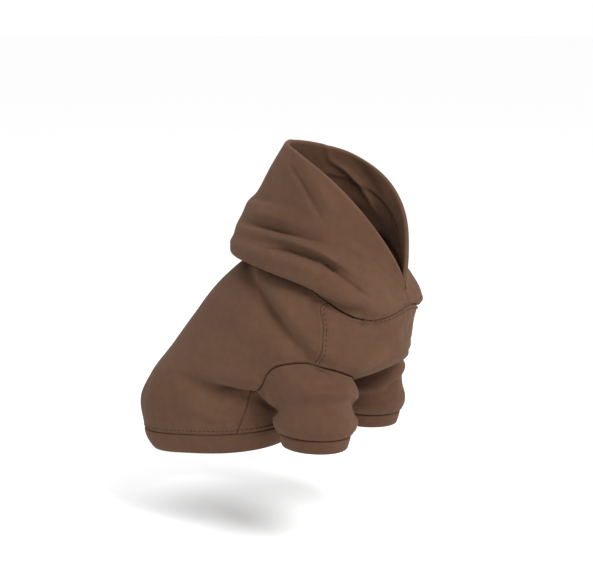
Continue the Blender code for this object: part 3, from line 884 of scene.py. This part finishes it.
def knit_material(name, colour, shade, wale, course, wale_depth, fuzz_depth, roughness, sheen):
    """A knitted cloth. Height is the cosine of the wales, which run along the cloth, and half the sine of
    the courses, which the wales bend into small arches. Fuzz and mottling are noise in space."""
    material = bpy.data.materials.new(name)
    material.use_nodes = True
    tree = material.node_tree
    shader = tree.nodes["Principled BSDF"]
    flat = add_node(tree, "ShaderNodeUVMap", {}, uv_map="cloth").outputs["UV"]
    place = add_node(tree, "ShaderNodeSeparateXYZ", {0: flat})
    space = add_node(tree, "ShaderNodeTexCoord", {}).outputs["Object"]

    turns = add_node(
        tree, "ShaderNodeMath", {0: place.outputs["X"], 1: 2 * math.pi / wale}, operation="MULTIPLY"
    )
    wales = add_node(tree, "ShaderNodeMath", {0: turns.outputs[0]}, operation="COSINE")
    upwards = add_node(
        tree, "ShaderNodeMath", {0: place.outputs["Y"], 1: 2 * math.pi / course}, operation="MULTIPLY"
    )
    arched = add_node(
        tree,
        "ShaderNodeMath",
        {0: wales.outputs[0], 1: ARCH, 2: upwards.outputs[0]},
        operation="MULTIPLY_ADD",
    )
    courses = add_node(tree, "ShaderNodeMath", {0: arched.outputs[0]}, operation="SINE")
    knit = add_node(
        tree,
        "ShaderNodeMath",
        {0: courses.outputs[0], 1: 0.5, 2: wales.outputs[0]},
        operation="MULTIPLY_ADD",
    )
    fuzz = add_node(
        tree, "ShaderNodeTexNoise", {"Vector": space, "Scale": 1 / FUZZ, "Detail": 3.0, "Roughness": 0.6}
    )
    mottle = add_node(
        tree, "ShaderNodeTexNoise", {"Vector": space, "Scale": 1 / MOTTLE, "Detail": 4.0, "Roughness": 0.65}
    )
    broad = add_node(
        tree,
        "ShaderNodeTexNoise",
        {"Vector": space, "Scale": 1 / BROAD_TONE, "Detail": 1.0, "Roughness": 0.5},
    )
    tone = add_node(
        tree,
        "ShaderNodeMix",
        {"Factor": 0.5, 2: mottle.outputs["Fac"], 3: broad.outputs["Fac"]},
        data_type="FLOAT",
    )
    blend = add_node(tree, "ShaderNodeMapRange", {0: tone.outputs[0], 1: 0.36, 2: 0.64, 3: 0.0, 4: 1.0})
    mix = add_node(
        tree,
        "ShaderNodeMix",
        {"Factor": blend.outputs[0], 6: linear(shade), 7: linear(colour)},
        data_type="RGBA",
    )
    tree.links.new(mix.outputs[2], shader.inputs["Base Color"])
    knit_bump = add_node(
        tree, "ShaderNodeBump", {"Height": knit.outputs[0], "Distance": wale_depth, "Strength": 1.0}
    )
    fuzz_bump = add_node(
        tree,
        "ShaderNodeBump",
        {
            "Height": fuzz.outputs["Fac"],
            "Distance": fuzz_depth,
            "Strength": 1.0,
            "Normal": knit_bump.outputs[0],
        },
    )
    tree.links.new(fuzz_bump.outputs[0], shader.inputs["Normal"])
    shader.inputs["Roughness"].default_value = roughness
    shader.inputs["Specular IOR Level"].default_value = 0.18
    shader.inputs["Sheen Weight"].default_value = sheen
    shader.inputs["Sheen Roughness"].default_value = 0.55
    shader.inputs["Sheen Tint"].default_value = linear("#B08F76")
    return material


def sweatshirt_fleece():
    """Cotton and polyester fleece, knitted and brushed: matt, with a soft bloom where it turns away."""
    return knit_material(
        "sweatshirt_fleece", "#533B2C", "#4A3326", wale=0.9 * MM, course=0.7 * MM, wale_depth=0.035 * MM,
        fuzz_depth=0.12 * MM, roughness=0.95, sheen=0.14,
    )


def rib_knit():
    """Doubled rib knit, firmer and a shade darker: its fine upright ribs just show close to."""
    return knit_material(
        "rib_knit", "#51392A", "#483124", wale=2.0 * MM, course=0.9 * MM, wale_depth=0.05 * MM,
        fuzz_depth=0.08 * MM, roughness=0.92, sheen=0.12,
    )


def sewing_thread():
    """Spun polyester thread: smoother than the cloth, so each stitch catches a little light."""
    material = bpy.data.materials.new("sewing_thread")
    material.use_nodes = True
    tree = material.node_tree
    shader = tree.nodes["Principled BSDF"]
    space = add_node(tree, "ShaderNodeTexCoord", {}).outputs["Object"]
    twist = add_node(tree, "ShaderNodeTexNoise", {"Vector": space, "Scale": 1 / (0.4 * MM), "Detail": 2.0})
    bump = add_node(tree, "ShaderNodeBump", {"Height": twist.outputs["Fac"], "Distance": 0.05 * MM})
    tree.links.new(bump.outputs[0], shader.inputs["Normal"])
    shader.inputs["Base Color"].default_value = linear("#2E1E15")
    shader.inputs["Roughness"].default_value = 0.7
    shader.inputs["Specular IOR Level"].default_value = 0.2
    return material


def white_floor_paint():
    """Matt white paint, so that the floor goes over into the white background."""
    material = bpy.data.materials.new("white_floor_paint")
    material.use_nodes = True
    shader = material.node_tree.nodes["Principled BSDF"]
    shader.inputs["Base Color"].default_value = linear("#FDFDFD")
    shader.inputs["Roughness"].default_value = 0.9
    return material


# Stage


def aim(obj, target):
    """Turns a camera or a light to look at a point."""
    obj.rotation_euler = (target - obj.location).to_track_quat("-Z", "Y").to_euler()


def from_side(target, azimuth, elevation, distance):
    """A place round a target: azimuth 0 looks along +Y and -90 along +X, elevation is above level."""
    a, e = math.radians(azimuth), math.radians(elevation)
    return target + distance * Vector((math.sin(a) * math.cos(e), -math.cos(a) * math.cos(e), math.sin(e)))


def stage():
    """The floor, the camera at the photograph's angle, a large soft light and a white surround."""
    scene = bpy.context.scene
    square = FLOOR_REACH * np.array([(-1, -1), (1, -1), (1, 1), (-1, 1)])
    corners = [(x, y, -FLOOR_BELOW_NECK) for x, y in square]
    mesh = bpy.data.meshes.new("floor")
    mesh.from_pydata(corners, [], [(0, 1, 2, 3)])
    mesh.materials.append(white_floor_paint())
    floor = bpy.data.objects.new("floor", mesh)
    scene.collection.objects.link(floor)

    camera = bpy.data.objects.new("camera", bpy.data.cameras.new("camera"))
    scene.collection.objects.link(camera)
    camera.data.lens = LENS
    camera.data.sensor_width = SENSOR_WIDTH
    camera.location = from_side(TARGET, CAMERA_AZIMUTH, CAMERA_ELEVATION, CAMERA_DISTANCE)
    aim(camera, TARGET)
    scene.camera = camera

    for name, (azimuth, elevation, distance, size, power) in LIGHTS.items():
        light = bpy.data.objects.new(name, bpy.data.lights.new(name, "AREA"))
        scene.collection.objects.link(light)
        light.data.size = size
        light.data.energy = power
        light.location = from_side(TARGET, azimuth, elevation, distance)
        aim(light, TARGET)
    world = bpy.data.worlds.new("white_surround")
    scene.world = world
    world.use_nodes = True
    world.node_tree.nodes["Background"].inputs["Color"].default_value = (1, 1, 1, 1)
    world.node_tree.nodes["Background"].inputs["Strength"].default_value = 1.0
    scene.view_settings.view_transform = "Standard"


def main():
    fleece, rib, thread = sweatshirt_fleece(), rib_knit(), sewing_thread()
    back_cloth(fleece)
    chest_cloth(fleece)
    for hand in HANDS:
        hood_cloth(hand, fleece)
        sleeve_cloth(hand, fleece)
        turn = np.linspace(0, 2 * math.pi, CUFF_TURNS, endpoint=False)
        band("cuff_band_" + hand, cuff, CUFF_ROWS, turn, CUFF_HEIGHT, hand, ["cuff_" + hand], rib)
    angle = np.linspace(-math.pi, math.pi, HEM_COLUMNS, endpoint=False)
    band("hem_knit_band", hem, HEM_ROWS, angle, HEM_BAND_HEIGHT, "left", ["hem_band"], rib)
    stitched = {
        "back_cloth": [stitches("hem_stitches", [round_stitches(hem_line(), 1)], thread)],
        "chest_cloth": [
            stitches("neck_stitches", [round_stitches(neck_line(), 0)], thread),
            stitches("shoulder_stitches", [shoulder_stitches(hand) for hand in HANDS], thread),
        ],
    }
    stage()


main()
